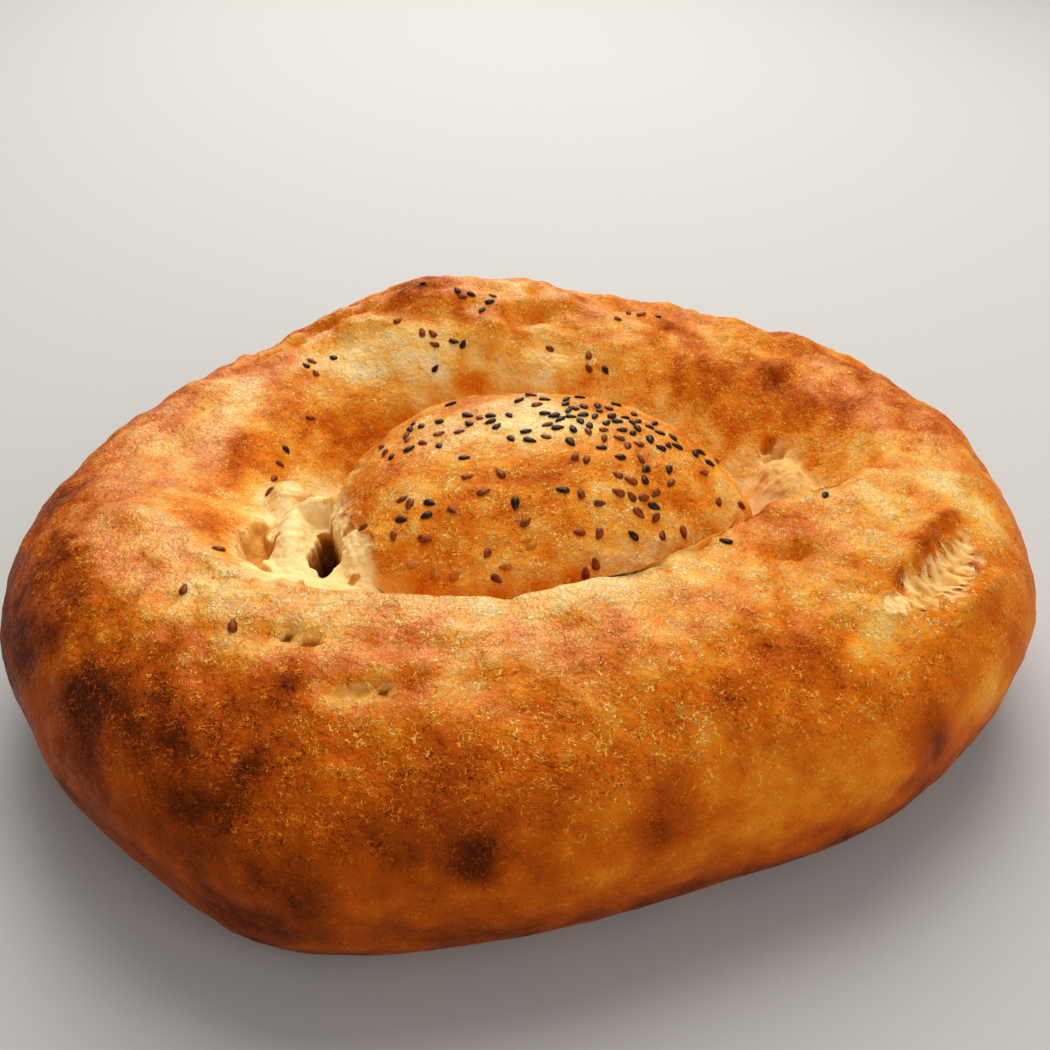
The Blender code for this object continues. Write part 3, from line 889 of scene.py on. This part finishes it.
def shape(loaf):
    """Turns the ball into the loaf, with its relief, and stores how each point is baked and torn, painted
    shade and highlights included.
    """
    mesh = loaf.data
    angle, share = bearings(get_points(mesh))
    points, place = skin(angle, share)
    swayed = wander(points, SWAY, SWAY_SIZE, shift=3.1)
    warped = wander(swayed, FRAY, FRAY_SIZE, shift=8.3)
    plain_z = points[:, 2].copy()
    points[:, 2] = heaped(points[:, 2], points, swayed, place)
    sunk = plain_z - points[:, 2]
    set_points(mesh, points)
    normals = get_normals(mesh)
    above = soften(points[:, 2], BULGE_Z / 2, BULGE_Z)
    height = above * raised(points, warped)
    crumb, toasted_and_shaded, strings = torn(points, swayed, warped)
    crumb *= above
    # Painted shade on crumb that lies deep down
    toasted_and_shaded = np.clip(toasted_and_shaded + DEEP_PAINTED_SHADE * soften(sunk - height, *SHADED_DEPTHS), 0, 1)
    lumps = (1 - SIDE_SMOOTHER * soften(place, *SMOOTHER_FROM)) * grain(points, LUMP_SIZE, shift=6.0)
    lift = crust_relief(points, angle, place, lumps) * (1 - CRUMB_SMOOTHS * crumb)
    lift += (crumb_relief(points) + strings) * crumb
    lift *= soften(points[:, 2], 0.0, FOOT_RELIEF_Z)
    leaning = normals + np.array([0.0, 0.0, 1.0])
    leaning /= np.linalg.norm(leaning, axis=1)[:, None] + TINY
    moved = points + height[:, None] * leaning + lift[:, None] * normals
    low, high = np.array(cad_box)
    set_points(mesh, np.clip(moved, low, high))
    level = get_normals(mesh)[:, 2]
    glossy = glossiness(points, angle, place, level)
    # Painted light on the lumps and painted shade in the hollows between them
    bake_and_painted_light = browning_and_painted_light(points, angle, place) - PAINTED_LUMP_LIGHT * lumps
    store(mesh, "shine", glossy * (1 - crumb) * (1 - soften(bake_and_painted_light, *DULL_BROWN)))
    store(mesh, "flaky_and_glinting", soften(level, *GLINTING_LEVEL) * (1 - crumb))
    store(mesh, "crumb", crumb)
    store(mesh, "toasted_and_shaded", toasted_and_shaded)
    # Painted sheen: glossy level crust is stored paler
    store(mesh, "bake_and_painted_light", np.clip(bake_and_painted_light - PAINTED_SHEEN * glossy, 0, 1))


# Materials

def new_finish(name, roughness=0.5):
    """A material with one Principled shader; returns it with its node tree and the shader."""
    finish = bpy.data.materials.new(name)
    finish.use_nodes = True
    tree = finish.node_tree
    shader = tree.nodes["Principled BSDF"]
    shader.inputs["Roughness"].default_value = roughness
    return finish, tree, shader


def stored(tree, name):
    """The numbers kept for every vertex under this name."""
    node = tree.nodes.new("ShaderNodeAttribute")
    node.attribute_name = name
    return node.outputs["Fac"]


def speckle(tree, size, detail=2.0, roughness=0.5, distortion=0.0, shift=0.0):
    """Noise with grains of a real size in metres, from 0 to 1. Another shift gives another pattern."""
    node = tree.nodes.new("ShaderNodeTexNoise")
    node.noise_dimensions = "4D"
    node.inputs["W"].default_value = shift
    node.inputs["Scale"].default_value = 1 / size
    node.inputs["Detail"].default_value = detail
    node.inputs["Roughness"].default_value = roughness
    node.inputs["Distortion"].default_value = distortion
    place = tree.nodes.new("ShaderNodeTexCoord").outputs["Object"]
    tree.links.new(place, node.inputs["Vector"])
    return node.outputs["Fac"]


def sums(tree, operation, first, second=None, third=None):
    """One step of arithmetic on numbers and other nodes' values."""
    node = tree.nodes.new("ShaderNodeMath")
    node.operation = operation
    for socket, value in zip(node.inputs, (first, second, third)):
        if value is None:
            continue
        if isinstance(value, (int, float)):
            socket.default_value = value
        else:
            tree.links.new(value, socket)
    return node.outputs[0]


def ranged(tree, value, low, high):
    """Stretches a value from 0 and 1 to low and high."""
    return sums(tree, "MULTIPLY_ADD", value, high - low, low)


def spread(tree, value, low, high, to_low=0.0, to_high=1.0):
    """Maps a range of values to another, and holds what lies outside."""
    node = tree.nodes.new("ShaderNodeMapRange")
    node.interpolation_type = "SMOOTHSTEP"
    tree.links.new(value, node.inputs["Value"])
    for name, number in (("From Min", low), ("From Max", high), ("To Min", to_low), ("To Max", to_high)):
        node.inputs[name].default_value = number
    return node.outputs["Result"]


def ramp(tree, value, stops):
    """Turns values into colours, smoothly between the stops."""
    node = tree.nodes.new("ShaderNodeValToRGB")
    band = node.color_ramp
    while len(band.elements) < len(stops):
        band.elements.new(0.5)
    for element, (position, colour) in zip(band.elements, stops):
        element.position = position
        element.color = (*colour, 1.0)
    tree.links.new(value, node.inputs["Fac"])
    return node.outputs["Color"]


def blend(tree, share, first, second):
    """Mixes two colours by a share from 0 to 1."""
    node = tree.nodes.new("ShaderNodeMix")
    node.data_type = "RGBA"
    sockets = [socket for socket in node.inputs if socket.type == "RGBA"]
    tree.links.new(share, node.inputs["Factor"])
    for socket, colour in zip(sockets, (first, second)):
        tree.links.new(colour, socket)
    return next(socket for socket in node.outputs if socket.type == "RGBA")


def bump(tree, layers, normal=None):
    """Fine relief from several heights in metres, one on top of the other."""
    for height, distance in layers:
        node = tree.nodes.new("ShaderNodeBump")
        node.inputs["Strength"].default_value = 1.0
        node.inputs["Distance"].default_value = distance
        tree.links.new(height, node.inputs["Height"])
        if normal is not None:
            tree.links.new(normal, node.inputs["Normal"])
        normal = node.outputs["Normal"]
    return normal


def curls(tree, size, thickness, shift):
    """Short curved lines where a noise crosses its middle, which fade in and out by a second noise."""
    line = sums(tree, "ABSOLUTE", sums(tree, "SUBTRACT", speckle(tree, size, 1.0, shift=shift), 0.5))
    thin = spread(tree, line, CURL_CORE * thickness, thickness, 1.0, 0.0)
    fading = spread(tree, speckle(tree, CURLS_FADE_SIZE * size, 1.0, shift=shift + 3), *CURLS_FADE)
    return sums(tree, "MULTIPLY", thin, fading)


def crust_finish():
    """Baked crust: browned by stored values that hold painted shade and highlights too, with pale curls,
    partly painted glints, and crumb where torn.
    """
    finish, tree, shader = new_finish("baked crust")
    shader.inputs["Specular IOR Level"].default_value = CRUST_SPECULAR
    crumb = stored(tree, "crumb")
    stronger = ranged(tree, stored(tree, "flaky_and_glinting"), *FLAKY_AND_GLINTING)
    mottled = ranged(tree, speckle(tree, MOTTLE_SIZE, 3.0), *MOTTLES)
    gritty = ranged(tree, speckle(tree, GRIT_SIZE, 2.0), *GRIT)
    glinting_curls = sums(tree, "MAXIMUM", *(curls(tree, *kind) for kind in GLINTING_CURLS))
    dark_curls = curls(tree, *DARK_CURLS)
    lines = sums(tree, "MULTIPLY_ADD", dark_curls, DARK_CURLS_TONE, gritty)
    lines = sums(tree, "MULTIPLY_ADD", glinting_curls, GLINTING_CURLS_TONE, lines)
    tones = sums(tree, "MULTIPLY_ADD", lines, stronger, mottled)
    crust_colour = ramp(tree, sums(tree, "ADD", stored(tree, "bake_and_painted_light"), tones), CRUST_TONES)
    blotches = ranged(tree, speckle(tree, BLOTCH_SIZE, 4.0, 0.6), *BLOTCHES)
    crumb_colour = ramp(tree, sums(tree, "ADD", stored(tree, "toasted_and_shaded"), blotches), CRUMB_TONES)
    tree.links.new(blend(tree, crumb, crust_colour, crumb_colour), shader.inputs["Base Color"])

    satin = spread(tree, speckle(tree, SATIN_SIZE, 2.0), *MOST_NOISE, *SATIN)
    tree.links.new(sums(tree, "MULTIPLY_ADD", crumb, CRUMB_ROUGHER, satin), shader.inputs["Roughness"])
    tree.links.new(sums(tree, "MULTIPLY", stored(tree, "shine"), COAT), shader.inputs["Coat Weight"])
    shader.inputs["Coat Roughness"].default_value = COAT_ROUGHNESS
    shader.inputs["Coat IOR"].default_value = COAT_IOR

    rough = sums(tree, "MULTIPLY", sums(tree, "SUBTRACT", 1.0, crumb), stronger)
    dents = sums(tree, "MULTIPLY", stronger, speckle(tree, DENT_SIZE, 3.0))
    grains = sums(tree, "MULTIPLY", rough, speckle(tree, GRAIN_SIZE, 2.0))
    ridges = sums(tree, "MULTIPLY", rough, glinting_curls)
    holes = sums(tree, "MULTIPLY", crumb, speckle(tree, HOLE_SIZE, 4.0, 0.55, 0.8))
    normal = bump(tree, ((dents, DENTS), (grains, GRAINS), (ridges, RIDGES), (holes, HOLES)))
    tree.links.new(normal, shader.inputs["Normal"])
    coat_normal = bump(tree, ((grains, COAT_GRAINS), (ridges, COAT_RIDGES)), normal)
    tree.links.new(coat_normal, shader.inputs["Coat Normal"])
    return finish


def seed_finish(sort, dark, light, roughness):
    finish, tree, shader = new_finish(sort + " sesame", roughness)
    shader.inputs["Specular IOR Level"].default_value = SEED_SPECULAR
    colour = ramp(tree, speckle(tree, SEED_SHADE_SIZE, 2.0), tuple(zip(SEED_SHADES, (dark, light))))
    tree.links.new(colour, shader.inputs["Base Color"])
    normal = bump(tree, ((speckle(tree, SEED_GRAIN_SIZE, 2.0), SEED_GRAINS),))
    tree.links.new(normal, shader.inputs["Normal"])
    return finish


# Sesame

def strew():
    """Where the seeds fall in plan, and how each is turned: drawn round each middle, none too close."""
    chance = random.Random(DRAW)
    strewn = []
    for x, y, spread_x, spread_y, count in STREWN:
        done = 0
        while done < count:
            place = Vector((chance.gauss(x, spread_x), chance.gauss(y, spread_y)))
            turn = chance.uniform(0.0, math.tau)
            if all((place - other).length >= SEED_APART for other, _ in strewn):
                strewn.append((place, turn))
                done += 1
    return strewn


def seed_pattern():
    """One seed: a ball drawn out to a flat drop with its point towards +X."""
    deselect_all()
    bpy.ops.mesh.primitive_uv_sphere_add(segments=SEED_SEGMENTS, ring_count=SEED_RINGS, radius=0.5)
    seed = bpy.context.object
    seed.name = "seed"
    bpy.ops.object.mode_set(mode="EDIT")
    bpy.ops.mesh.select_all(action="SELECT")
    bpy.ops.transform.resize(value=(SEED_LENGTH, SEED_WIDTH, SEED_THICKNESS))
    bpy.ops.object.mode_set(mode="OBJECT")
    for vert in seed.data.vertices:
        forward = vert.co.x / (SEED_LENGTH / 2)
        vert.co.y *= 1.0 - SEED_TAPER * forward - SEED_BLUNT * forward ** 2
        vert.co.z *= 1.0 - SEED_THINNER * forward
    return seed


def sort_of_seed(place, chance):
    """Which seeds lie where: black at the dome's top, browner lower down, golden at its foot."""
    if place.x < TORN_SIDE_X and place.y < TORN_SIDE_Y:
        return chance.choice(SORTS_AT_TORN_SIDE)
    if (place - Vector(DOME_CENTRE)).length < SEEDED_DOME_R:
        for line, sorts in SORTS_IN_FRONT_OF:
            if place.y < line:
                return chance.choice(sorts)
        return chance.choice(SORTS_ON_TOP)
    return chance.choice(SORTS_ON_RIM)


def sow(loaf, finishes):
    """Lays every seed on the crust and joins each sort to one piece."""
    corners = [vert.co for vert in loaf.data.vertices]
    surface = BVHTree.FromPolygons(corners, [face.vertices[:] for face in loaf.data.polygons])
    chance = random.Random(DRAW + 1)
    pattern = seed_pattern()
    heaps = {sort: [] for sort in finishes}
    for place, turn in strew():
        spot, normal, _, _ = surface.ray_cast(Vector((place.x, place.y, 2 * DOME_TOP)), Vector((0, 0, -1)))
        sort = sort_of_seed(place, chance)
        seed = bpy.data.objects.new("seed", pattern.data.copy())
        bpy.context.scene.collection.objects.link(seed)
        facing = Vector((0, 0, 1)).rotation_difference(normal).to_matrix().to_4x4()
        lift = SEED_THICKNESS / 2 - SEED_SUNK
        size = chance.uniform(*SEED_SIZES)
        tilt = Matrix.Rotation(chance.gauss(0, SEED_TILT), 4, "X")
        seed.data.transform(Matrix.Translation(spot + lift * normal) @ facing
                            @ Matrix.Rotation(turn, 4, "Z") @ tilt @ Matrix.Scale(size, 4))
        heaps[sort].append(seed)
    bpy.data.objects.remove(pattern)
    for sort, seeds in heaps.items():
        deselect_all()
        for seed in seeds:
            seed.select_set(True)
        bpy.context.view_layer.objects.active = seeds[0]
        bpy.ops.object.join()
        heap = bpy.context.object
        heap.name = f"seeds_{sort}"
        heap.data.materials.append(finishes[sort])
        bpy.ops.object.shade_smooth()
        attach(heap, "root")


# Floor, light and camera

def floor():
    deselect_all()
    bpy.ops.mesh.primitive_plane_add(size=FLOOR_SIZE, location=(0, 0, 0))
    ground = bpy.context.object
    ground.name = "floor"
    finish, _, shader = new_finish("pale floor", FLOOR_ROUGHNESS)
    shader.inputs["Base Color"].default_value = (*FLOOR_COLOUR, 1.0)
    ground.data.materials.append(finish)


def area_light(name, place, size, power, tint):
    """A soft square light that faces the loaf."""
    data = bpy.data.lights.new(name, "AREA")
    data.size = size
    data.energy = power
    data.color = tint
    lamp = bpy.data.objects.new(name, data)
    lamp.location = place
    lamp.rotation_euler = (Vector(LIT_PLACE) - Vector(place)).to_track_quat("-Z", "Y").to_euler()
    bpy.context.scene.collection.objects.link(lamp)


def light():
    world = bpy.data.worlds.new("studio")
    world.use_nodes = True
    background = world.node_tree.nodes["Background"]
    background.inputs["Color"].default_value = (*ROOM_TINT, 1.0)
    background.inputs["Strength"].default_value = ROOM_STRENGTH
    bpy.context.scene.world = world
    bpy.context.scene.view_settings.view_transform = "Standard"
    for lamp in LIGHTS:
        area_light(*lamp)


def camera():
    data = bpy.data.cameras.new("camera")
    data.sensor_width = SENSOR
    data.lens = LENS
    data.clip_start = CLIP_START
    view = bpy.data.objects.new("camera", data)
    view.location = CAMERA_PLACE
    view.rotation_euler = (math.radians(90) - CAMERA_DOWN, 0.0, 0.0)
    bpy.context.scene.collection.objects.link(view)
    bpy.context.scene.camera = view


loaf = ball()
for half_widths in FINER_OUT_TO:
    refine(loaf, half_widths)
shape(loaf)
pick(loaf)
bpy.ops.object.shade_smooth()
loaf.data.materials.append(crust_finish())
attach(loaf, "root")
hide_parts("loaf")
sow(loaf, {sort: seed_finish(sort, *look) for sort, look in SEED_LOOKS.items()})
floor()
light()
camera()
